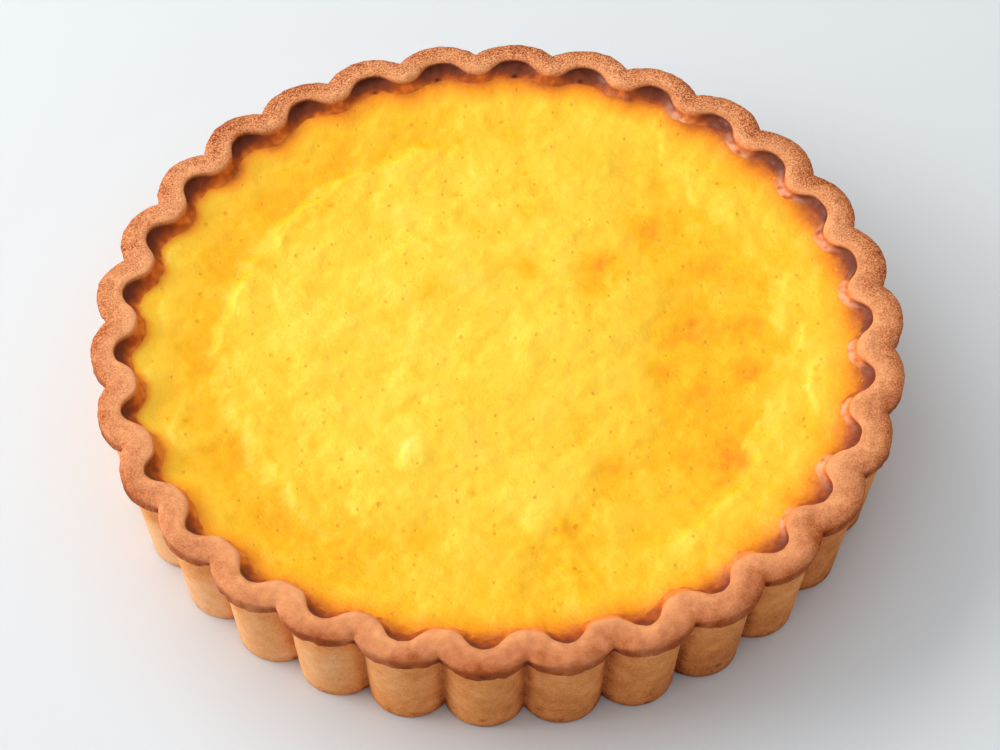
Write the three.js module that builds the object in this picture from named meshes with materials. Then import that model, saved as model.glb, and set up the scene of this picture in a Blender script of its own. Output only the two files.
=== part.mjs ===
// Round cheesecake tart: a fluted shortcrust case baked in an 18 cm tin, filled with baked cheese custard.
// Millimetres, +Z up, origin in the middle of the flat base.
import * as THREE from 'three';

// Driving dimensions of the case
const RIM_RADIUS = 90; // out to the tips of the lobes on the lip
const HEIGHT = 28.5; // from the base to the rim top
const FLUTES = 30;
const WALL_FLUTE = 5.3; // depth of the tin's flutes, from a lobe's tip in to the notches beside it
const LIP_FLUTE = 3.1; // depth of the notches in the lip
const FIRST_LOBE_DEG = 4.2; // azimuth of the lobe nearest +X
const LIP_HEIGHT = 3.5; // the dough that rose over the edge of the tin
const LIP_OVERHANG = 1.7;
const LIP_ROUND = 0.4; // under the lip
const BASE_RADIUS = 85; // lobes at the foot of the tapering wall
const FOOT_ROUND = 1.8;
const RIM_BAND = 5.7; // width of the rim top across a lobe
const LIP_CROWN = 0.9; // the rim top falls this far to its outer edge,
const BITE_CROWN = 0.25; // this far to its inner edge in a bite
const POINT_CROWN = 0.9; // and this far to its inner edge on a point
const BITE_DEPTH = 4.1; // the points behind the notches reach in by this much
const BITE_MIDDLE = 0.22; // share of a lobe's breadth where its bite is deepest
const BITE_BREADTH = 0.88; // and the share where the points beside it begin
const BITE_LEAN = 4; // a bite's wall leans in by this much from the rim to the filling
const WELL_BITE = 0.4; // share of the bites' depth that is left at the filling
const WELL_TAPER = 4; // the well is narrower at its floor by this much
const FLOOR = 5; // thickness of the pastry under the filling

// How uneven the hand-made case is
const LOBE_UNEVEN = 0.7; // some lobes of the lip stand out more than others
const HAND_UNEVEN = 1.05; // the rim is thicker on the right
const POINT_UNEVEN = 0.2; // the points reach further in at the front than at the back, by this share
const RIM_UNEVEN = 0.25; // the rim top rises and dips

// Driving dimensions of the filling
const FILL_DROP = 4.3; // from the rim top down to the filling's edge
const MIDDLE_DROP = 1; // from the filling's edge down to the middle
const MIDDLE_RADIUS = 50; // the middle is this wide, and from there on the filling rises to its edge
const TROUGH_DROP = 1.2; // on the left a trough lies along the case
const TROUGH_RADIUS = 64;
const TROUGH_DEG = 172; // azimuth of the trough's middle
const SAG_DROP = 1; // on the right the middle sagged beside a ring that stayed up
const SAG_START = 15;
const RING_RADIUS = 66; // inner radius of that ring
const SAG_DEG = -5; // azimuth of the sag's middle
const BANK = 5; // width of the banks of trough and sag
const SWELL = 0.3; // height of the long waves in the middle
const SWELL_LENGTH = 11; // the waves' length divided by a full turn
const SHOULDER = 5; // by this far inside its edge the filling's outline has half lost the flutes
const TOP_RINGS = 9;
const CLEARANCE = 0.3; // between the filling and the case

// Worked out from the driving dimensions
const STEPS_PER_FLUTE = 8;
const FLUTE_STEP = (2 * Math.PI) / FLUTES;
const FIRST_LOBE = THREE.MathUtils.degToRad(FIRST_LOBE_DEG);
const HALF_CHORD = RIM_RADIUS * Math.sin(FLUTE_STEP / 2);
const TIN_EDGE = HEIGHT - LIP_HEIGHT;
const WALL_RADIUS = RIM_RADIUS - LIP_OVERHANG;
const RECESS_RADIUS = RIM_RADIUS - RIM_BAND;
const WELL_RADIUS = RECESS_RADIUS - BITE_LEAN;
const FILL_EDGE = HEIGHT - FILL_DROP;

// How far an azimuth is from the middle of the nearest lobe: 0 in a lobe, 1 at the notches beside it
function offLobe(azimuth) {
  const turns = (azimuth - FIRST_LOBE) / FLUTE_STEP;
  return 2 * Math.abs(turns - Math.round(turns));
}

// Outside, each lobe is an arc, so the notches between lobes are sharp
function lobeFall(azimuth, notchDepth) {
  const across = offLobe(azimuth) * HALF_CHORD;
  const arc = (HALF_CHORD ** 2 + notchDepth ** 2) / (2 * notchDepth);
  return arc - Math.sqrt(arc ** 2 - across ** 2);
}

function wallFall(azimuth) {
  return lobeFall(azimuth, WALL_FLUTE);
}

// The lobes of the lip stand out most at the back left
function lipFall(azimuth) {
  const swell = LOBE_UNEVEN * (Math.cos(azimuth - 2.2) + 0.3 * Math.sin(11 * azimuth));
  return lobeFall(azimuth, LIP_FLUTE) * (1 + (0.6 * swell) / LIP_FLUTE) - swell;
}

// Inside, each lobe is a half-moon bite, and the dough behind a notch a blunt point: 0 in a bite, 1 on a point
function point(azimuth) {
  return THREE.MathUtils.smoothstep(offLobe(azimuth), BITE_MIDDLE, BITE_BREADTH);
}

function biteFall(azimuth) {
  const reach = BITE_DEPTH * (1 - POINT_UNEVEN * Math.sin(azimuth));
  const thicker = HAND_UNEVEN * (Math.cos(azimuth + 0.3) + 0.3 * Math.cos(2 * azimuth + 0.5));
  return reach * point(azimuth) + thicker;
}

function wellFall(azimuth) {
  return WELL_BITE * biteFall(azimuth);
}

function rimRise(azimuth) {
  return RIM_UNEVEN * (Math.sin(2 * azimuth + 0.6) + 0.6 * Math.sin(5 * azimuth + 2.1));
}

// Radius of the well's wall at a height, in a lobe
function wellRadius(height) {
  return WELL_RADIUS - (WELL_TAPER * (FILL_EDGE - height)) / (FILL_EDGE - FLOOR);
}

// How far an azimuth lies on one side of the tart: 1 around the side's middle, fading to 0 between two cosines
function onSide(azimuth, middleDeg, outerCosine, innerCosine) {
  const turned = Math.cos(azimuth - THREE.MathUtils.degToRad(middleDeg));
  return THREE.MathUtils.smoothstep(turned, outerCosine, innerCosine);
}

// Level of the filling: it drops from the case to a wavy middle, with a trough on the left and a sag on the right
function fillLevel(x, y) {
  const azimuth = Math.atan2(y, x);
  const radius = Math.hypot(x, y);
  const risen = THREE.MathUtils.smoothstep(radius, MIDDLE_RADIUS, WELL_RADIUS);
  const crossed = Math.sin(x / SWELL_LENGTH + 0.5) * Math.cos(y / SWELL_LENGTH);
  const slanted = Math.sin((1.5 * (x - y)) / SWELL_LENGTH);
  const middle = SWELL * (crossed + 0.6 * slanted) - MIDDLE_DROP;
  const troughBank = THREE.MathUtils.smoothstep(radius, TROUGH_RADIUS - BANK, TROUGH_RADIUS);
  const troughSide = 1 - THREE.MathUtils.smoothstep(radius, TROUGH_RADIUS, WELL_RADIUS);
  const trough = onSide(azimuth, TROUGH_DEG, 0.1, 0.55) * troughBank * troughSide;
  const sagSide = THREE.MathUtils.smoothstep(radius, SAG_START, MIDDLE_RADIUS);
  const sagBank = 1 - THREE.MathUtils.smoothstep(radius, RING_RADIUS - BANK, RING_RADIUS);
  const sag = onSide(azimuth, SAG_DEG, 0.3, 0.7) * sagSide * sagBank;
  return FILL_EDGE + (1 - risen) * middle - TROUGH_DROP * trough - SAG_DROP * sag;
}

// A ring of the turned outline: its radius in a lobe, its height, and how far each azimuth draws in and rises
function ring(radius, height, fall = () => 0, rise = () => 0) {
  return { radius, height, fall, rise };
}

// Turns an outline of rings that starts and ends on the axis, then draws every ring in along its flutes
function fluted(rings) {
  const outline = rings.map((each) => new THREE.Vector2(each.radius, each.height));
  const start = FIRST_LOBE + Math.PI / 2;
  const solid = new THREE.LatheGeometry(outline, FLUTES * STEPS_PER_FLUTE, start);
  solid.rotateX(Math.PI / 2);
  const place = solid.attributes.position;
  for (let i = 0; i < place.count; i += 1) {
    const each = rings[i % rings.length];
    if (each.radius > 0) {
      const azimuth = Math.atan2(place.getY(i), place.getX(i));
      const radius = each.radius - each.fall(azimuth);
      const x = radius * Math.cos(azimuth);
      const y = radius * Math.sin(azimuth);
      place.setXYZ(i, x, y, each.height + each.rise(azimuth, x, y));
    }
  }
  solid.computeVertexNormals();
  return solid;
}

// The rounded rim top, from the lip's outer face (0) across to the inner edge (1)
function rimRing(across) {
  const fall = (azimuth) => THREE.MathUtils.lerp(lipFall(azimuth), biteFall(azimuth), across);
  const radius = THREE.MathUtils.lerp(RIM_RADIUS, RECESS_RADIUS, across);
  const outward = Math.max(0, 1 - 2 * across);
  const inward = Math.max(0, 2 * across - 1);
  const rise = (azimuth) => {
    const crown = THREE.MathUtils.lerp(BITE_CROWN, POINT_CROWN, point(azimuth));
    return rimRise(azimuth) - LIP_CROWN * outward ** 3 - crown * inward ** 4;
  };
  return ring(radius, HEIGHT, fall, rise);
}

// The case: flat base, tapering fluted wall, lip, rounded rim, and the well for the filling
function crust() {
  const footRadius = THREE.MathUtils.lerp(BASE_RADIUS, WALL_RADIUS, FOOT_ROUND / TIN_EDGE);
  const footBevel = FOOT_ROUND * (1 - Math.SQRT1_2);
  return fluted([
    ring(0, 0),
    ring(BASE_RADIUS - FOOT_ROUND, 0, wallFall),
    ring(BASE_RADIUS - footBevel, footBevel, wallFall),
    ring(footRadius, FOOT_ROUND, wallFall),
    ring(WALL_RADIUS, TIN_EDGE, wallFall),
    ring(RIM_RADIUS - LIP_ROUND, TIN_EDGE + LIP_ROUND, lipFall),
    ...[0, 0.15, 0.5, 0.8, 1].map(rimRing),
    ring(WELL_RADIUS, FILL_EDGE, wellFall),
    ring(wellRadius(FLOOR), FLOOR, wellFall),
    ring(0, FLOOR),
  ]);
}

// The filling: it takes the shape of the well, with a sunken, wavy top
function filling() {
  const level = (azimuth, x, y) => fillLevel(x, y) - FILL_EDGE;
  const halfFall = (azimuth) => wellFall(azimuth) / 2;
  const floor = FLOOR + CLEARANCE;
  const shoulder = WELL_RADIUS - SHOULDER;
  // Rings of equal area, which lie closer together towards the edge
  const top = Array.from({ length: TOP_RINGS - 1 }, (_, k) => {
    return ring(shoulder * Math.sqrt(1 - (k + 1) / TOP_RINGS), FILL_EDGE, undefined, level);
  });
  return fluted([
    ring(0, floor),
    ring(wellRadius(floor) - CLEARANCE, floor, wellFall),
    ring(WELL_RADIUS - CLEARANCE, FILL_EDGE, wellFall),
    ring(shoulder, FILL_EDGE, halfFall, level),
    ...top,
    ring(0, fillLevel(0, 0)),
  ]);
}

function named(name, geometry, material) {
  const mesh = new THREE.Mesh(geometry, material);
  mesh.name = name;
  return mesh;
}

const pastry = new THREE.MeshStandardMaterial({ color: 0xcf8a50, roughness: 0.8, metalness: 0 });
const custard = new THREE.MeshStandardMaterial({ color: 0xfbc93f, roughness: 0.4, metalness: 0 });

const tart = new THREE.Group();
tart.name = 'cheesecake_tart';
tart.add(named('crust', crust(), pastry));
tart.add(named('filling', filling(), custard));

export default tart;
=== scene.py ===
import random
from math import atan2, cos, exp, hypot, pi, radians, sin, sqrt, tanh

import bmesh
import bpy
from mathutils import Matrix, Vector, kdtree, noise


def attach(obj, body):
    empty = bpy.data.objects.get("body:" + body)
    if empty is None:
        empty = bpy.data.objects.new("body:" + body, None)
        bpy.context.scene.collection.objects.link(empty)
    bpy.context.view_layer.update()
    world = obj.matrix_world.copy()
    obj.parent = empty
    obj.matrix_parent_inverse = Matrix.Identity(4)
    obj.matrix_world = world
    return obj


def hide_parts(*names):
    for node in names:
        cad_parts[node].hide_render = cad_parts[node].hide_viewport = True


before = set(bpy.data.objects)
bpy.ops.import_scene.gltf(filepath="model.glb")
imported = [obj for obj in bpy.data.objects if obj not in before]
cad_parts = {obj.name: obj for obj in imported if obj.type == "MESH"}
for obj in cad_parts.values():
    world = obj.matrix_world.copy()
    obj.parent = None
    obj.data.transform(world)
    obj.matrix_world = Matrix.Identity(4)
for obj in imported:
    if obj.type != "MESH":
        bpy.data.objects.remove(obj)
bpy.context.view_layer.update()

# The case
# Shortcrust pastry pressed by hand into a fluted tin and baked until golden. The tin shaped the wall; the
# dough rose over the tin's edge as a rough lip, and custard left a dark film in the bite behind each lobe.
MM = 0.001
RIM_RADIUS = 90.0  # out to the tips of the lobes on the lip
HEIGHT = 28.5  # from the base to the rim top
FLUTES = 30
WALL_FLUTE = 5.3  # the tin's flutes are deeper
LIP_FLUTE = 3.1  # than the notches in the lip
FIRST_LOBE = radians(4.2)
LIP_HEIGHT = 3.5
LIP_OVERHANG = 1.7
LIP_ROUND = 0.4
BASE_RADIUS = 85.0
FOOT_ROUND = 1.8
RIM_BAND = 5.7
LIP_CROWN = 0.9  # the rim top falls this far to its outer edge,
BITE_CROWN = 0.25  # this far to its inner edge in a bite
POINT_CROWN = 0.9  # and this far to its inner edge on a point
BITE_DEPTH = 4.1  # the points behind the notches reach in by this much,
POINT_UNEVEN = 0.2  # more by this share at the front and less at the back,
POINT_LONGER = 0.14  # and more by this share at the back left
BITE_BREADTH = 0.48  # share of a lobe's breadth that its bite takes up,
BITE_WIDEN = 0.06  # more by this much at the back right,
BITE_UNEVEN = 0.03  # and more or less by this much from lobe to lobe
BITE_STEEP = 4.4  # how steep the bite's sides are
FILM_LEAN = 4.0  # the film in a bite slopes in by this much from the rim to the filling,
POINT_LEAN = 1.7  # and this much on a point
FILM_DROP = 2.4  # from the rim top down to the filling where it has climbed the case,
FILM_DEEPER = 1.4  # and this much further down on the left
WELL_TAPER = 4.0
FLOOR = 5.0
LOBE_UNEVEN = 0.7  # the lobes stand out by this much more at the back left
RIM_UNEVEN = 0.25  # the rim rises and falls by about this much
HAND_UNEVEN = 1.05  # pressed by hand, the rim is broader by this much on the right,
RIM_NARROW = 0.45  # and narrower by this much at one place
NARROW_AZIMUTH = radians(226)

FLUTE_STEP = 2 * pi / FLUTES
HALF_CHORD = RIM_RADIUS * sin(FLUTE_STEP / 2)
TIN_EDGE = HEIGHT - LIP_HEIGHT
WALL_RADIUS = RIM_RADIUS - LIP_OVERHANG
RECESS_RADIUS = RIM_RADIUS - RIM_BAND
WELL_RADIUS = RECESS_RADIUS - FILM_LEAN
FILM_FOOT = HEIGHT - FILM_DROP

# Azimuths, counted from the right of the photograph towards its back
RIGHT, BACK_RIGHT, BACK, BACK_LEFT, LEFT, FRONT = (radians(turn) for turn in (0, 60, 90, 140, 180, -90))


def mix(start, end, share):
    return start + (end - start) * share


def smoothstep(value, low, high):
    share = min(1.0, max(0.0, (value - low) / (high - low)))
    return share * share * (3 - 2 * share)


# 1 at the given side of the tart, falling to 0 a quarter turn away from it
def towards(azimuth, side):
    return max(0.0, cos(azimuth - side))


# How far an azimuth is from the middle of the nearest lobe: 0 in a lobe, 1 at the notches beside it
def off_lobe(azimuth):
    turns = (azimuth - FIRST_LOBE) / FLUTE_STEP
    return 2 * abs(turns - round(turns))


# Outside, each lobe is an arc, so the notches between lobes are sharp
def lobe_fall(azimuth, notch_depth):
    across = off_lobe(azimuth) * HALF_CHORD
    arc = (HALF_CHORD**2 + notch_depth**2) / (2 * notch_depth)
    return arc - sqrt(arc**2 - across**2)


# The lobes of the lip stand out most at the back left
def lip_fall(azimuth):
    swell = LOBE_UNEVEN * (cos(azimuth - 2.2) + 0.3 * sin(11 * azimuth))
    return lobe_fall(azimuth, LIP_FLUTE) * (1 + 0.6 * swell / LIP_FLUTE) - swell


# Inside, each lobe is a half-moon bite, and the dough behind a notch is a blunt point:
# 0 in a bite, 1 on a point
def point(azimuth):
    lobe = round((azimuth - FIRST_LOBE) / FLUTE_STEP) % FLUTES
    breadth = BITE_BREADTH + BITE_WIDEN * cos(azimuth - BACK_RIGHT) - BITE_UNEVEN * sin(5.3 * lobe)
    start = tanh(-BITE_STEEP * breadth)
    end = tanh(BITE_STEEP * (1 - breadth))
    return (tanh(BITE_STEEP * (off_lobe(azimuth) - breadth)) - start) / (end - start)


def bite_fall(azimuth):
    reach = BITE_DEPTH * (1 - POINT_UNEVEN * sin(azimuth) + POINT_LONGER * towards(azimuth, BACK_LEFT))
    broader = HAND_UNEVEN * (cos(azimuth + 0.3) + 0.3 * cos(2 * azimuth + 0.5))
    narrower = RIM_NARROW * towards(azimuth, NARROW_AZIMUTH) ** 8
    return reach * point(azimuth) + broader - narrower


# Noise with bumps about the given size in millimetres, between -1 and 1
def lumps(place, size, seed=0.0):
    return noise.noise(place / size + Vector((seed, seed * 1.7, seed * 2.3)))


# How far the film leans in: less in the bites on the right, more on the points there; its foot is ragged
def film_lean(azimuth):
    right = towards(azimuth, RIGHT)
    in_bite = FILM_LEAN * (1 - 0.3 * right)
    on_point = POINT_LEAN * (1 + 0.3 * right) + 0.3 * towards(azimuth, BACK)
    place = WELL_RADIUS * Vector((cos(azimuth), sin(azimuth), 0))
    ragged = 0.6 * lumps(place, 3.5, 71) + 0.3 * lumps(place, 1.5, 73)
    return mix(in_bite, on_point, point(azimuth)) + ragged


# Height of the film's foot: on the left the filling didn't climb as far
def film_foot(azimuth):
    return FILM_FOOT - FILM_DEEPER * towards(azimuth, LEFT)


def rim_rise(azimuth):
    return RIM_UNEVEN * (sin(2 * azimuth + 0.6) + 0.6 * sin(5 * azimuth + 2.1))


# Height of the rim top from its outer edge (0) to its inner edge (1)
def rim_top(across, azimuth):
    outward = max(0.0, 1 - 2 * across)
    inward = max(0.0, 2 * across - 1)
    on_point = POINT_CROWN * (1 - 0.5 * towards(azimuth, LEFT))
    inner = mix(BITE_CROWN, on_point, point(azimuth))
    return HEIGHT + rim_rise(azimuth) - LIP_CROWN * outward**3 - inner * inward**4


# The outline is a chain of corners, each with its share of the lip (0 on the wall, 1 on the lip), its place
# across the rim (0 outside, 1 inside) and its depth down the bite (0 at the rim, 1 at the filling).
case = bmesh.new()
share = {name: case.verts.layers.float.new(name) for name in ("lip", "across", "depth")}
toast_and_shade = case.verts.layers.float.new("toast_and_shade")
sand = case.verts.layers.float.new("sand")
film = case.verts.layers.float.new("film")
film_light_and_shade = case.verts.layers.float.new("film_light_and_shade")
point_sheen = case.verts.layers.float.new("point_sheen")
film_sheen = case.verts.layers.float.new("film_sheen")


def corner(radius, height, lip=0.0, across=0.0, depth=0.0):
    vert = case.verts.new((radius, 0, height))
    vert[share["lip"]] = lip
    vert[share["across"]] = across
    vert[share["depth"]] = depth
    return vert


rim_edge = HEIGHT - LIP_CROWN
well_floor = WELL_RADIUS - WELL_TAPER
outline = [
    corner(0, 0),
    corner(BASE_RADIUS, 0),
    corner(WALL_RADIUS, TIN_EDGE),
    corner(RIM_RADIUS - LIP_ROUND, TIN_EDGE + LIP_ROUND, lip=1),
    corner(RIM_RADIUS, rim_edge, lip=1),
    corner(RECESS_RADIUS, rim_edge, lip=1, across=1),
    corner(WELL_RADIUS, FILM_FOOT, lip=1, across=1, depth=1),
    corner(well_floor, FLOOR, lip=1, across=1, depth=1),
    corner(0, FLOOR, lip=1, across=1, depth=1),
]
# How finely each stretch of the outline is divided, in millimetres; the hidden ones stay whole
stretches = (None, 0.6, 0.3, 0.3, 0.26, 0.3, None, None)
edges = [case.edges.new(ends) for ends in zip(outline, outline[1:])]
for edge, fineness in zip(edges, stretches):
    if fineness:
        bmesh.ops.subdivide_edges(case, edges=[edge], cuts=int(edge.calc_length() / fineness))
foot = min(case.verts, key=lambda vert: (vert.co - Vector((BASE_RADIUS, 0, 0))).length)
bmesh.ops.bevel(
    case, geom=[foot], offset=FOOT_ROUND, segments=4, profile=0.5, affect="VERTICES", material=-1
)
STEPS_PER_FLUTE = 30
bmesh.ops.rotate(case, verts=case.verts, matrix=Matrix.Rotation(FIRST_LOBE, 3, "Z"))
bmesh.ops.spin(
    case, geom=case.verts[:] + case.edges[:], axis=(0, 0, 1), cent=(0, 0, 0), angle=2 * pi,
    steps=FLUTES * STEPS_PER_FLUTE, use_merge=True,
)
bmesh.ops.remove_doubles(case, verts=case.verts, dist=0.001)
bmesh.ops.recalc_face_normals(case, faces=case.faces)

# The film ends in a sharp edge against the filling
for edge in case.edges:
    if all(vert[share["depth"]] > 0.999 and vert.co.z > FLOOR + 1 for vert in edge.verts):
        edge.smooth = False

# Draw every ring in along its flutes, and arch the rim
for vert in case.verts:
    radius = hypot(vert.co.x, vert.co.y)
    if radius > 1:
        azimuth = atan2(vert.co.y, vert.co.x)
        across = vert[share["across"]]
        depth = vert[share["depth"]]
        outer = mix(lobe_fall(azimuth, WALL_FLUTE), lip_fall(azimuth), vert[share["lip"]])
        inner = bite_fall(azimuth) + film_lean(azimuth) * depth**1.3 - FILM_LEAN * depth
        drawn = (radius - mix(outer, inner, across)) / radius
        height = vert.co.z
        if across > 0 and height > FLOOR:
            height = mix(rim_top(across, azimuth), film_foot(azimuth), depth**0.6)
        elif height > TIN_EDGE + LIP_ROUND:
            height += rim_rise(azimuth) * (height - TIN_EDGE) / LIP_HEIGHT
        vert.co = (vert.co.x * drawn, vert.co.y * drawn, height)
case.normal_update()


# How far the dough stands out: lumps and crumbs, rougher on the rim
def dough_rough(place, on_rim):
    lump = 0.2 * on_rim * lumps(place, 9, 15)
    crumb = mix(0.05, 0.16, on_rim) * lumps(place, 3.5)
    grit = mix(0.04, 0.14, on_rim) * lumps(place, 1.3, 3)
    return lump + crumb + grit


# How far the wall browned in the tin: more towards its foot and in flecks low down. Painted shade makes it
# darker under the lip, in the notches and on the right, and painted light makes its lower part paler on the
# left
def wall_toast_and_shade(place, azimuth):
    down = (TIN_EDGE - place.z) / TIN_EDGE
    lower = smoothstep(down, 0.05, 0.8)
    fleck = max(0.0, lumps(place, 1.8, 17) - 0.2)
    level = 0.24 + 0.2 * lower + 0.2 * smoothstep(down, 0.88, 1.0) + 0.1 * smoothstep(place.z, 13, 20)
    level += 0.25 * smoothstep(off_lobe(azimuth), 0.75, 1.0) + 0.5 * smoothstep(down, 0.5, 1.0) * fleck
    return level + 0.12 * towards(azimuth, RIGHT - 0.35) - 0.45 * towards(azimuth, LEFT) * lower


# How far the lip browned: most on its hanging face and its outer edge, least on the points. Painted shade
# darkens
# # the hanging face at the notches, and a painted highlight lightens the inner part of the rim more on the
# right;
# # it is also darker towards the inner edge in the bites
def lip_toast_and_shade(place, azimuth, lip, across):
    notch = off_lobe(azimuth)
    right = towards(azimuth, RIGHT - 0.2)
    face = lip * (1 - across) * (1 - smoothstep(place.z, TIN_EDGE + 1.2, TIN_EDGE + 3.2))
    level = 0.64 - 0.12 * smoothstep(across, 0.05, 0.5)
    level += face * (0.16 + 0.2 * smoothstep(notch, 0.85, 1.0))
    level -= (0.12 + 0.06 * right) * smoothstep(across, 0.45, 0.85)
    level += mix(-0.07 * notch, 0.11 * notch - 0.03, right) + 0.05 * towards(azimuth, BACK)
    return level + 0.1 * (1 - point(azimuth)) * smoothstep(across, 0.7, 1.0)


# Painted shade on the film by side: 1 at the back left, where the bites face away from the windows, 0 at the
# front right
def painted_film_shade(azimuth):
    return 0.5 + 0.5 * cos(azimuth - radians(120))


# Bubbles that burst in the film, painted as dark spots for the shade in their holes: the azimuth in degrees
# and
# # the radius of each
BURST = ((101, 81.2), (88, 81.1), (112, 81.0), (77, 81.6))
BURST_BREADTH = 0.45


# How light the film is: dark at the top of a bite, baked darker and with painted shade under the rim's edge,
# # lighter towards the filling, and orange on the points. Painted shade darkens it at the back left, and
# painted
# # light lightens its foot and its points on the left
def film_tone_and_painted_light(place, azimuth, depth):
    dark = painted_film_shade(azimuth)
    left = towards(azimuth, LEFT)
    fade = depth ** (1.5 + 0.4 * towards(azimuth, RIGHT - 0.2) - 0.4 * left)
    in_bite = mix(0.47 * (1 - dark), 0.78 + 0.22 * left, fade)
    on_point = 1 - 0.2 * dark + 0.1 * left
    ragged = 0.15 * lumps(place, 1.4, 61) + 0.08 * lumps(place, 5, 63)
    light = mix(in_bite, on_point, point(azimuth)) + ragged
    for bubble_azimuth, bubble_radius in BURST:
        turn = radians(bubble_azimuth)
        middle = bubble_radius * Vector((cos(turn), sin(turn)))
        light -= exp(-(((place.xy - middle).length / BURST_BREADTH) ** 2))
    return light


# Painted sheen: a pale reflection of the windows on the points at the right that face them, in patches
def painted_point_sheen(place, azimuth, depth, facing):
    low = smoothstep(depth, 0.2, 0.65) * smoothstep(facing, 0.2, 0.85)
    patchy = smoothstep(lumps(place, 1.3, 65), -0.6, 0.25)
    return 0.75 * point(azimuth) * smoothstep(cos(azimuth - 0.17), 0.35, 0.75) * low * patchy


# Painted reflection: a grey sheen of the windows along the middle of the film where it faces them, in
# patches,
# # fainter on the right and at the front
def painted_film_sheen(place, azimuth, depth, facing):
    band = smoothstep(depth, 0.08, 0.25) * (1 - smoothstep(depth, 0.55, 0.9)) * (1 - 0.6 * point(azimuth))
    fainter = mix(0.85, 0.15, smoothstep(cos(azimuth), 0.6, 0.95)) * (1 - 0.5 * towards(azimuth, FRONT))
    patchy = smoothstep(lumps(place, 1.5, 67), -0.05, 0.4)
    return smoothstep(facing, 0.72, 0.95) * band * fainter * patchy


# Roughen the dough, and note how far each place is browned, with painted shade and light mixed in, how sandy
# it
# # is, where the film lies and where the painted sheen of the windows shows
SHEEN_AZIMUTH = radians(195)  # the painted sheen shows on film that faces this way, towards the windows
for vert in case.verts:
    place = vert.co.copy()
    azimuth = atan2(place.y, place.x)
    lip = vert[share["lip"]]
    across = vert[share["across"]]
    depth = vert[share["depth"]]
    on_rim = lip * (1 - smoothstep(depth, 0.0, 0.2))
    hem = lip * (1 - across) * (1 - smoothstep(place.z, TIN_EDGE + 0.3, TIN_EDGE + 2.4))
    bulge = 1 - off_lobe(azimuth) ** 2
    nick = max(0.0, lumps(place, 2.6, 5) - 0.15)
    # The base and what lies under the filling stay smooth
    if place.z > 0.5 and hypot(place.x, place.y) > 60 and depth < 1:
        vert.co += vert.normal * (dough_rough(place, on_rim) + hem * (0.25 * bulge - 0.9 * nick))
        vert.co.z -= hem * (0.9 * bulge + 0.3 * lumps(place, 4, 19))

    patch = 0.12 * lumps(place, 14, 11) + 0.08 * lumps(place, 5, 13)
    # Browning, with painted shade and painted light mixed in
    vert[toast_and_shade] = mix(wall_toast_and_shade(place, azimuth), lip_toast_and_shade(place, azimuth, lip, across), lip) + patch
    coarse = mix(0.35, 0.72 + 0.6 * sin(azimuth), lip)
    vert[sand] = coarse * (1 - 0.5 * smoothstep(across, 0.7, 1.0))
    vert[film] = smoothstep(depth, 0.01, mix(0.08, 0.25, point(azimuth)))
    vert[film_light_and_shade] = film_tone_and_painted_light(place, azimuth, depth)
    facing = cos(atan2(vert.normal.y, vert.normal.x) - SHEEN_AZIMUTH)
    vert[point_sheen] = painted_point_sheen(place, azimuth, depth, facing)
    vert[film_sheen] = painted_film_sheen(place, azimuth, depth, facing)

for face in case.faces:
    face.smooth = True
bmesh.ops.scale(case, vec=(MM, MM, MM), verts=case.verts)
case_mesh = bpy.data.meshes.new("crust_pastry")
case.to_mesh(case_mesh)
case.free()
crust = bpy.data.objects.new("crust_pastry", case_mesh)
bpy.context.scene.collection.objects.link(crust)


# A colour written as sRGB hex, turned linear
def linear(colour):
    parts = [int(colour[i : i + 2], 16) / 255 for i in (1, 3, 5)]
    return [p / 12.92 if p <= 0.04045 else ((p + 0.055) / 1.055) ** 2.4 for p in parts] + [1.0]


# Adds a node with its settings; an input takes a value or another node's output
def add_node(tree, kind, inputs=(), stops=(), **settings):
    node = tree.nodes.new(kind)
    for name, value in settings.items():
        setattr(node, name, value)
    for key, value in dict(inputs).items():
        if isinstance(value, bpy.types.NodeSocket):
            tree.links.new(value, node.inputs[key])
        else:
            node.inputs[key].default_value = value
    for place, (position, colour) in enumerate(stops):
        elements = node.color_ramp.elements
        element = elements[place] if place < len(elements) else elements.new(position)
        element.position = position
        element.color = linear(colour)
    return node


# Baked shortcrust: butter, sugar and flour that browned unevenly, so the eye gets a dry sandy grain with
# darker flecks, more of them where it is browner, and a shiny dark film of baked-on custard in the bites.
GRAIN_MM = 0.42
BLOTCH_MM = 2.6
GRAIN_SHADE = 0.32  # how far a grain is browned more or less than what is round it,
BLOTCH_SHADE = 0.08  # and a blotch
shortcrust = bpy.data.materials.new("baked_shortcrust")
shortcrust.use_nodes = True
tree = shortcrust.node_tree
tree.nodes.clear()
place = add_node(tree, "ShaderNodeTexCoord").outputs["Object"]
# The toast attribute holds browning together with painted shade and light
browned_and_shaded = add_node(tree, "ShaderNodeAttribute", attribute_name="toast_and_shade").outputs["Fac"]
sandy = add_node(tree, "ShaderNodeAttribute", attribute_name="sand").outputs["Fac"]
filmed = add_node(tree, "ShaderNodeAttribute", attribute_name="film").outputs["Fac"]
on_lip = add_node(tree, "ShaderNodeAttribute", attribute_name="lip").outputs["Fac"]
film_tone_and_shade = add_node(tree, "ShaderNodeAttribute", attribute_name="film_light_and_shade").outputs["Fac"]
point_sheen_mask = add_node(tree, "ShaderNodeAttribute", attribute_name="point_sheen").outputs["Fac"]
film_sheen_mask = add_node(tree, "ShaderNodeAttribute", attribute_name="film_sheen").outputs["Fac"]
grain = add_node(
    tree, "ShaderNodeTexNoise",
    {"Vector": place, "Scale": 1 / (GRAIN_MM * MM), "Detail": 2.0, "Roughness": 0.6},
).outputs["Fac"]
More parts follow.
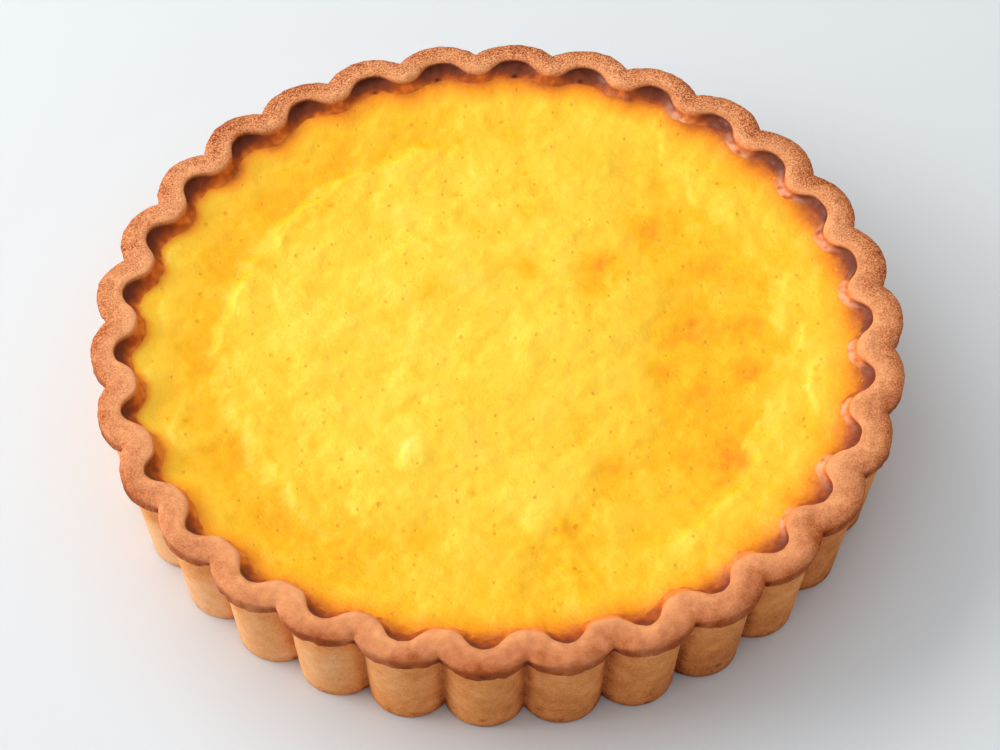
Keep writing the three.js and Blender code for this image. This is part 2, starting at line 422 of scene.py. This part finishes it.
blotch = add_node(
    tree, "ShaderNodeTexNoise", {"Vector": place, "Scale": 1 / (BLOTCH_MM * MM), "Detail": 3.0}
).outputs["Fac"]
grain_shade = add_node(
    tree, "ShaderNodeMapRange",
    {"Value": grain, "From Min": 0.3, "From Max": 0.7, "To Min": -GRAIN_SHADE, "To Max": GRAIN_SHADE},
).outputs[0]
grain_shade = add_node(tree, "ShaderNodeMath", {0: grain_shade, 1: sandy}, operation="MULTIPLY").outputs[0]
blotch_shade = add_node(
    tree, "ShaderNodeMapRange",
    {"Value": blotch, "From Min": 0.3, "From Max": 0.7, "To Min": -BLOTCH_SHADE, "To Max": BLOTCH_SHADE},
).outputs[0]
uneven = add_node(tree, "ShaderNodeMath", {0: grain_shade, 1: blotch_shade}, operation="ADD").outputs[0]
level = add_node(tree, "ShaderNodeMath", {0: browned_and_shaded, 1: uneven}, operation="ADD").outputs[0]
open_baked = add_node(
    tree, "ShaderNodeValToRGB", {"Fac": level},
    stops=((0.08, "#f2b280"), (0.35, "#e89c66"), (0.6, "#c87c50"), (0.8, "#a65020"), (1.0, "#6a2608")),
).outputs["Color"]
tin_baked = add_node(
    tree, "ShaderNodeValToRGB", {"Fac": level},
    stops=((0.08, "#f3ba86"), (0.35, "#ea9a56"), (0.6, "#ca783e"), (0.82, "#964c22"), (1.0, "#5e2a0c")),
).outputs["Color"]
pastry = add_node(
    tree, "ShaderNodeMix", {0: on_lip, 6: tin_baked, 7: open_baked}, data_type="RGBA"
).outputs[2]
film_level = add_node(tree, "ShaderNodeMath", {0: blotch_shade, 1: film_tone_and_shade}, operation="ADD").outputs[0]
film_colour = add_node(
    tree, "ShaderNodeValToRGB", {"Fac": film_level},
    stops=(
        (0.0, "#541804"), (0.08, "#4b1c0d"), (0.35, "#6a3220"), (0.58, "#80391c"), (0.78, "#b0521a"),
        (0.88, "#d2681e"), (1.0, "#ec8636"),
    ),
).outputs["Color"]
# Painted sheen: a pale reflection of the windows on the points
film_colour = add_node(
    tree, "ShaderNodeMix", {0: point_sheen_mask, 6: film_colour, 7: linear("#f2b48c")}, data_type="RGBA"
).outputs[2]
# Painted reflection: a grey sheen of the windows on the film
film_colour = add_node(
    tree, "ShaderNodeMix", {0: film_sheen_mask, 6: film_colour, 7: linear("#8e6b6a")}, data_type="RGBA"
).outputs[2]
colour = add_node(
    tree, "ShaderNodeMix", {0: filmed, 6: pastry, 7: film_colour}, data_type="RGBA"
).outputs[2]
roughness = add_node(
    tree, "ShaderNodeMapRange", {"Value": filmed, "To Min": 0.75, "To Max": 0.28}
).outputs[0]
bump = add_node(
    tree, "ShaderNodeBump", {"Strength": 0.6, "Distance": 0.3 * MM, "Height": grain_shade}
).outputs["Normal"]
shader = add_node(
    tree, "ShaderNodeBsdfPrincipled",
    {
        "Base Color": colour, "Roughness": roughness, "Normal": bump, "IOR": 1.45,
        "Specular IOR Level": 0.2, "Specular Tint": (1.0, 0.6, 0.5, 1.0),
    },
).outputs["BSDF"]
add_node(tree, "ShaderNodeOutputMaterial", {"Surface": shader})
crust.data.materials.append(shortcrust)
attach(crust, "root")
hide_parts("crust")

# The filling
# Cream cheese, egg and sugar poured into the case and baked until it just set. It stuck to the case, and
# sank as it cooled: on the left a trough lies along the case; on the right a ring stayed up beside a sag.
FILL_DROP = 4.3  # from the rim top down to the filling's edge before it climbs the case
MIDDLE_DROP = 1.0  # all round, from the filling's edge down to the middle
TROUGH_AZIMUTH = radians(172)
TROUGH_DROP = 1.2
SAG_AZIMUTH = radians(-5)
SAG_DROP = 1.0
SWELL = 0.3
SWELL_LENGTH = 11.0
CLEARANCE = 0.3
CLIMB_LENGTH = 6.0  # towards the case the custard climbs over about this length,
CLIMB_PAST = 0.06  # ends this much above the film's foot
BOND = 0.3  # and runs this far into the film
EDGE_BLEND = 12.0  # by this far inside its edge the filling's outline has lost the flutes
GRID = 300

FILL_EDGE = HEIGHT - FILL_DROP
MEAN_EDGE = WELL_RADIUS - 0.2 * BITE_DEPTH


# How far a place lies in the trough, in the sag, and on the ring outside the sag; their banks are ragged
def sunken(x, y):
    place = Vector((x, y, 0))
    azimuth = atan2(y, x)
    radius = hypot(x, y)
    ragged = radius + 3.0 * lumps(place, 11, 51) + 1.2 * lumps(place, 4, 53)
    left = smoothstep(cos(azimuth - TROUGH_AZIMUTH), 0.1, 0.55)
    right = smoothstep(cos(azimuth - SAG_AZIMUTH), 0.3, 0.7)
    trough = smoothstep(ragged, 60, 64) * (1 - smoothstep(radius, 64, 82))
    ring = smoothstep(ragged, 61, 66)
    sag = smoothstep(radius, 15, 50) * (1 - ring)
    return left * trough, right * sag, right * ring


def fill_level(x, y):
    trough, sag, _ = sunken(x, y)
    middle = 1 - smoothstep(hypot(x, y), 50, WELL_RADIUS)
    crossed = sin(x / SWELL_LENGTH + 0.5) * cos(y / SWELL_LENGTH)
    slanted = sin(1.5 * (x - y) / SWELL_LENGTH)
    swell = SWELL * (crossed + 0.6 * slanted)
    return FILL_EDGE + middle * (swell - MIDDLE_DROP) - TROUGH_DROP * trough - SAG_DROP * sag


# Low flat islands with ragged banks, from -0.5 between them to 0.5 on them
def terrace(place, size, seed):
    bank = lumps(place, size, seed) + 0.3 * lumps(place, size / 3, seed + 5)
    return smoothstep(bank, -0.25, 0.3) - 0.5


# Radius of the filling's edge, at the foot of the film
def fill_edge(azimuth):
    return RECESS_RADIUS - bite_fall(azimuth) - film_lean(azimuth) + BOND


custard = bmesh.new()
edge_gap_and_light = custard.verts.layers.float.new("edge_gap_and_light")  # distance from the case, with painted light added on the left and at the points: 0 at it, 1 beyond the browned edge
deep_and_shade = custard.verts.layers.float.new("deep_and_shade")  # depth of the yellow, with painted shade and light: 0 pale, 1 browned
bmesh.ops.create_grid(custard, x_segments=GRID, y_segments=GRID, size=1)
border = [edge for edge in custard.edges if edge.is_boundary]
for edge in border:
    edge.smooth = False
for vert in custard.verts:
    # The square grid becomes a disc, and its outer part follows the flutes
    x = vert.co.x * sqrt(1 - vert.co.y**2 / 2)
    y = vert.co.y * sqrt(1 - vert.co.x**2 / 2)
    azimuth = atan2(y, x)
    reach = hypot(x, y)
    follow = smoothstep(reach * MEAN_EDGE, MEAN_EDGE - EDGE_BLEND, MEAN_EDGE)
    radius = mix(MEAN_EDGE, fill_edge(azimuth), follow)
    x *= radius
    y *= radius
    place = Vector((x, y, 0))
    from_case = max(0.0, fill_edge(azimuth) - hypot(x, y))
    clear = smoothstep(from_case, 0.5, 6.0)
    terraces = 0.6 * terrace(place, 15, 21) + 0.4 * terrace(place, 8, 23)
    waves = 0.6 * terraces + 0.18 * lumps(place, 4.5, 24) + 0.13 * lumps(place, 1.9, 25)
    climb = (film_foot(azimuth) + CLIMB_PAST - FILL_EDGE) * exp(-from_case / CLIMB_LENGTH)
    vert.co = (x, y, fill_level(x, y) + clear * waves + climb)

    # The yellow is deeper where the filling sank, partly its own colour and partly painted shade on slopes
    # that face
    # # away from the windows; painted shade deepens it between the terraces, and painted light makes it
    # paler near the
    # # case on the left. Against the case it browned, over a broader edge at the front and on the right.
    trough, sag, ring = sunken(x, y)
    front = smoothstep(-sin(azimuth), 0.2, 0.8)
    back = smoothstep(sin(azimuth), 0.2, 0.8)
    right = smoothstep(cos(azimuth), 0.2, 0.7) * (1 + 0.6 * towards(azimuth, FRONT))
    left = towards(azimuth, LEFT)
    elsewhere = smoothstep(hypot(x, y), 42, 62) * (1 - max(trough, sag, ring))
    vert[deep_and_shade] = 0.29 + 0.33 * trough + 0.27 * sag + 0.14 * ring + (0.12 + 0.12 * front) * elsewhere
    vert[deep_and_shade] -= 0.12 * clear * terraces + 0.05 * left * smoothstep(hypot(x, y), 69, 76)
    # Painted light makes the browned edge paler on the left and on the points, less where the film is
    # painted in shade
    at_point = 0.06 + 0.24 * smoothstep(painted_film_shade(azimuth), 0.75, 0.35) + 0.08 * min(1.0, right)
    painted_paler = mix(0.38 * left, at_point, point(azimuth))
    browned_breadth = 3.5 + max(3.3 * back, 5 * right, 5.5 * front) - 0.8 * left
    vert[edge_gap_and_light] = min(1.0, from_case / browned_breadth + painted_paler)

# Soft folds of skin: a steep front that looks towards an azimuth, mostly towards the windows, with a painted
# highlight that makes it pale, fading away behind it.
# Each has its place, the azimuth of its front in degrees, its half length, its height and the breadth of
# its front.
FOLDS = (
    (-60.5, 13, 180, 5, 0.9, 1.2), (-51.5, 14, 180, 6, 0.4, 1.5), (-52, 31, 172, 5, 0.8, 1.2),
    (-46, 29, 150, 5, 0.5, 1.3), (-44, 46, 148, 5, 0.4, 2.0), (-26, 58, 112, 12, 0.25, 3.0),
    (-12.5, 66, 166, 9, 0.5, 2.5), (-57, -6, 185, 6, 0.8, 2.0), (-54, -24, 202, 7, 0.6, 2.0),
    (-46.5, -41, 214, 7, 0.9, 1.5), (-29.5, -47, 214, 6, 0.8, 1.2), (-20.5, -31, 182, 5, 0.6, 1.0),
    (-22, -57, 208, 6, 0.4, 2.0), (-77, -9, 182, 3, 0.7, 0.8), (-71, -26, 192, 6, 0.8, 1.2),
    (-75.5, 24, 175, 4, 0.5, 0.7), (-75.5, 9, 178, 4, 0.5, 0.7), (-16.5, 37, 176, 4, 0.3, 0.8),
    (-7, 52, 185, 2, 0.4, 0.7), (-24, 14, 170, 5, 0.3, 2.0), (-28, 46, 165, 6, 0.3, 2.0),
    (36.5, 58, 190, 6, 0.6, 1.2), (44, 44, 214, 7, 0.7, 1.0), (61, 35, 190, 5, 0.5, 1.0),
    (64, 18, 184, 6, 0.5, 1.0), (61, 8.5, 180, 2.5, 0.7, 0.8), (66, 3, 184, 4, 1.0, 1.0),
    (67.5, -11, 180, 7, 1.1, 1.2), (54.5, -25, 173, 7, 0.9, 1.0), (48, -42, 146, 6, 0.6, 1.5),
    (39, -52, 125, 7, 0.6, 2.0), (30.5, -29, 180, 5, 0.3, 1.5),
)
FOLD_FADE = 7.0  # behind its front a fold sinks away over about this length,
PALE_FADE = 3.5  # and its painted highlight over this one
near_verts = kdtree.KDTree(len(custard.verts))
for index, vert in enumerate(custard.verts):
    near_verts.insert((vert.co.x, vert.co.y, 0), index)
near_verts.balance()
custard.verts.ensure_lookup_table()
for x, y, facing, half_length, height, breadth in FOLDS:
    forward = Vector((cos(radians(facing)), sin(radians(facing)), 0))
    sideways = Vector((-forward.y, forward.x, 0))
    centre = Vector((x, y, 0))
    for place, index, _ in near_verts.find_range(centre, 2 * half_length + FOLD_FADE):
        along = (place - centre).dot(sideways)
        wobble = 2.6 * lumps(place, 6, 31) + 1.2 * lumps(place, 2.2, 33)
        behind = -(place - centre).dot(forward) - along**2 / (3 * half_length) + wobble
        strength = height * exp(-((along / half_length) ** 2)) * smoothstep(behind, -breadth, breadth)
        vert = custard.verts[index]
        vert.co.z += 0.7 * strength * exp(-max(0.0, behind) / FOLD_FADE)
        vert[deep_and_shade] -= 0.3 * strength * exp(-max(0.0, behind) / PALE_FADE)

# Browned spots, each with its place and radius, and small sunken dents with place, radius and depth
BROWNED = (
    (6, 24, 4), (21, 19, 5), (23, 26, 4), (43, 6, 6), (55, 9, 4), (55, -6, 4), (45, -12, 4), (36, -6, 3),
    (33, 37, 4), (48, 24, 4), (24, -32, 2), (-15, 16, 4), (50, -30, 6), (15, -49, 4), (6, 41, 3),
)
for x, y, radius in BROWNED:
    for place, index, distance in near_verts.find_range((x, y, 0), 2.5 * radius):
        spread = distance / radius + 0.5 * lumps(place, 2.5, 41)
        custard.verts[index][deep_and_shade] += 0.3 * exp(-(spread**2))
DENTS = ((16, -48, 5, 0.8), (9, -61, 4, 0.7), (18, -58, 4, 0.6), (5, -45, 4, 0.5), (38, -8, 4, 0.4))
for x, y, radius, drop in DENTS:
    for place, index, distance in near_verts.find_range((x, y, 0), 2.5 * radius):
        spread = distance / radius + 0.5 * lumps(place, 3, 43)
        custard.verts[index].co.z -= drop * exp(-(spread**2))

# Bubbles that burst as the custard set; painted shade deepens the yellow in their hollows
BUBBLES = 60
BUBBLE_REACH = 76.0
BUBBLE_SIZES = (0.5, 0.95)
draw = random.Random(7)
for _ in range(BUBBLES):
    azimuth = draw.uniform(0, 2 * pi)
    reach = BUBBLE_REACH * sqrt(draw.random())
    size = draw.uniform(*BUBBLE_SIZES)
    middle = (reach * cos(azimuth), reach * sin(azimuth), 0)
    for place, index, distance in near_verts.find_range(middle, 1.8 * size):
        hole = exp(-((distance / (0.7 * size)) ** 2))
        custard.verts[index].co.z -= 0.2 * size * hole
        custard.verts[index][deep_and_shade] += 0.35 * hole

# The sides go down to the floor of the case
skirt = border
for height, radius_in in ((FILL_EDGE - 1, 0.0), (FLOOR + CLEARANCE, WELL_TAPER)):
    made = bmesh.ops.extrude_edge_only(custard, edges=skirt)["geom"]
    for vert in (item for item in made if isinstance(item, bmesh.types.BMVert)):
        azimuth = atan2(vert.co.y, vert.co.x)
        radius = fill_edge(azimuth) - BOND - CLEARANCE - radius_in
        vert.co = (radius * cos(azimuth), radius * sin(azimuth), height)
    skirt = [item for item in made if isinstance(item, bmesh.types.BMEdge)]
underside = bmesh.ops.holes_fill(custard, edges=skirt, sides=0)["faces"]
bmesh.ops.poke(custard, faces=underside)
bmesh.ops.recalc_face_normals(custard, faces=custard.faces)
for face in custard.faces:
    face.smooth = True
bmesh.ops.scale(custard, vec=(MM, MM, MM), verts=custard.verts)
custard_mesh = bpy.data.meshes.new("filling_custard")
custard.to_mesh(custard_mesh)
custard.free()
filling = bpy.data.objects.new("filling_custard", custard_mesh)
bpy.context.scene.collection.objects.link(filling)

# Baked cheese custard: soft and moist, with light that soaks in, a satin skin, cloudy yellow that deepens to
# orange and brown against the case, and small pits left by bubbles.
CLOUD_MM = 11.0
CLOUD_SHADE = 0.15  # how far a cloud is deeper or paler than what is round it
PIT_MM = 4.2  # breadth of the cells that hold one pit each, if any
SKIN_MM = 0.9
cheese = bpy.data.materials.new("baked_cheese_custard")
cheese.use_nodes = True
tree = cheese.node_tree
tree.nodes.clear()
place = add_node(tree, "ShaderNodeTexCoord").outputs["Object"]
# The gap and deep attributes carry painted light and shade as well as the browning
near = add_node(tree, "ShaderNodeAttribute", attribute_name="edge_gap_and_light").outputs["Fac"]
depth = add_node(tree, "ShaderNodeAttribute", attribute_name="deep_and_shade").outputs["Fac"]
cloud = add_node(
    tree, "ShaderNodeTexNoise",
    {"Vector": place, "Scale": 1 / (CLOUD_MM * MM), "Detail": 5.0, "Roughness": 0.74},
).outputs["Fac"]
wrinkle = add_node(
    tree, "ShaderNodeTexNoise", {"Vector": place, "Scale": 1 / (SKIN_MM * MM), "Detail": 3.0}
).outputs["Fac"]
bubble = add_node(
    tree, "ShaderNodeTexVoronoi", {"Vector": place, "Scale": 1 / (PIT_MM * MM)}, voronoi_dimensions="2D"
)
chance = add_node(tree, "ShaderNodeSeparateColor", {"Color": bubble.outputs["Color"]}).outputs["Red"]
pit_size = add_node(
    tree, "ShaderNodeMapRange",
    {"Value": chance, "From Min": 0.55, "From Max": 1.0, "To Min": 0.0, "To Max": 0.16},
).outputs[0]
pit_edge = add_node(
    tree, "ShaderNodeMath", {0: pit_size, 1: bubble.outputs["Distance"]}, operation="SUBTRACT"
).outputs[0]
pit = add_node(
    tree, "ShaderNodeMapRange", {"Value": pit_edge, "From Min": 0.0, "From Max": 0.07}
).outputs[0]
cloud_shade = add_node(
    tree, "ShaderNodeMapRange",
    {"Value": cloud, "From Min": 0.3, "From Max": 0.7, "To Min": -CLOUD_SHADE, "To Max": CLOUD_SHADE},
).outputs[0]
depth_level = add_node(tree, "ShaderNodeMath", {0: depth, 1: cloud_shade}, operation="ADD").outputs[0]
yellow = add_node(
    tree, "ShaderNodeValToRGB", {"Fac": depth_level},
    stops=(
        (0.0, "#ffe797"), (0.1, "#ffdd60"), (0.18, "#ffd546"), (0.3, "#ffcd36"), (0.6, "#ffb90c"),
        (0.85, "#fba308"), (1.0, "#ec8a0a"),
    ),
).outputs["Color"]
edge_level = add_node(tree, "ShaderNodeMath", {0: near, 1: cloud_shade}, operation="ADD").outputs[0]
edge_colour = add_node(
    tree, "ShaderNodeValToRGB", {"Fac": edge_level},
    stops=((0.0, "#ac5414"), (0.1, "#c66814"), (0.22, "#dc800c"), (0.35, "#f2900c"), (0.7, "#ff9e0c")),
).outputs["Color"]
inside = add_node(
    tree, "ShaderNodeMapRange", {"Value": edge_level, "From Min": 0.3, "From Max": 1.0}
).outputs[0]
skin = add_node(tree, "ShaderNodeMix", {0: inside, 6: edge_colour, 7: yellow}, data_type="RGBA").outputs[2]
# Painted shade: the pits are a deeper orange
pit_share = add_node(tree, "ShaderNodeMath", {0: pit, 1: 0.45}, operation="MULTIPLY").outputs[0]
skin = add_node(
    tree, "ShaderNodeMix", {0: pit_share, 6: skin, 7: linear("#f29a14")}, data_type="RGBA"
).outputs[2]
height = add_node(tree, "ShaderNodeMath", {0: wrinkle, 1: pit}, operation="SUBTRACT").outputs[0]
bump = add_node(
    tree, "ShaderNodeBump", {"Strength": 0.5, "Distance": 0.3 * MM, "Height": height}
).outputs["Normal"]
shader = add_node(
    tree, "ShaderNodeBsdfPrincipled",
    {
        "Base Color": skin, "Roughness": 0.38, "Normal": bump, "IOR": 1.4, "Specular IOR Level": 0.35,
        "Subsurface Weight": 0.35, "Subsurface Radius": (1.0, 0.5, 0.2), "Subsurface Scale": 0.8 * MM,
    },
).outputs["BSDF"]
add_node(tree, "ShaderNodeOutputMaterial", {"Surface": shader})
filling.data.materials.append(cheese)
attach(filling, "root")
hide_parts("filling")

# The floor
# A plain pale matt board, far wider than the view.
FLOOR_HALF = 1.6
board = bmesh.new()
bmesh.ops.create_grid(board, x_segments=1, y_segments=1, size=FLOOR_HALF)
board_mesh = bpy.data.meshes.new("floor_board")
board.to_mesh(board_mesh)
board.free()
floor = bpy.data.objects.new("floor_board", board_mesh)
bpy.context.scene.collection.objects.link(floor)
paint = bpy.data.materials.new("pale_matt_paint")
paint.use_nodes = True
tree = paint.node_tree
tree.nodes.clear()
shader = add_node(
    tree, "ShaderNodeBsdfPrincipled",
    {"Base Color": linear("#d6dbde"), "Roughness": 0.6, "Specular IOR Level": 0.3},
).outputs["BSDF"]
add_node(tree, "ShaderNodeOutputMaterial", {"Surface": shader})
floor.data.materials.append(paint)

# The light
# One wide soft window from the left and behind, a low one on the left,
# a pale ceiling, and even light all round.
def add_lamp(name, azimuth, elevation, distance, width, height, watts):
    lamp = bpy.data.lights.new(name, "AREA")
    lamp.shape = "RECTANGLE"
    lamp.size = width
    lamp.size_y = height
    lamp.energy = watts
    hung = bpy.data.objects.new(name, lamp)
    level = cos(radians(elevation))
    rise = sin(radians(elevation))
    outward = Vector((cos(radians(azimuth)) * level, sin(radians(azimuth)) * level, rise))
    hung.location = distance * outward
    hung.rotation_euler = outward.to_track_quat("Z", "Y").to_euler()
    bpy.context.scene.collection.objects.link(hung)


add_lamp("window", azimuth=152, elevation=40, distance=1.3, width=1.9, height=0.45, watts=9.8)
add_lamp("low_window", azimuth=178, elevation=22, distance=1.2, width=0.9, height=0.6, watts=7.5)
add_lamp("ceiling", azimuth=180, elevation=85, distance=1.6, width=3.0, height=3.0, watts=16.0)
room = bpy.data.worlds.new("pale_room")
room.use_nodes = True
room.node_tree.nodes["Background"].inputs["Color"].default_value = (1.0, 1.0, 1.0, 1.0)
room.node_tree.nodes["Background"].inputs["Strength"].default_value = 0.42
bpy.context.scene.world = room
bpy.context.scene.view_settings.view_transform = "Standard"

# The camera
# It looks down on the tart from the front, from about 70 cm away, as the photograph does.
LENS = 115.5
VIEW_ELEVATION = radians(50.86)
VIEW_ROLL = radians(0.59)
VIEW_DISTANCE = 0.701
VIEW_TARGET = Vector((0.0001, -0.0118, 0.028))
lens = bpy.data.cameras.new("camera")
lens.lens = LENS
lens.sensor_width = 36.0
camera = bpy.data.objects.new("camera", lens)
turned = Matrix.Rotation(pi / 2 - VIEW_ELEVATION, 4, "X") @ Matrix.Rotation(VIEW_ROLL, 4, "Z")
view_from = Vector((0, -cos(VIEW_ELEVATION), sin(VIEW_ELEVATION)))
camera.matrix_world = Matrix.Translation(VIEW_TARGET + VIEW_DISTANCE * view_from) @ turned
bpy.context.scene.collection.objects.link(camera)
bpy.context.scene.camera = camera
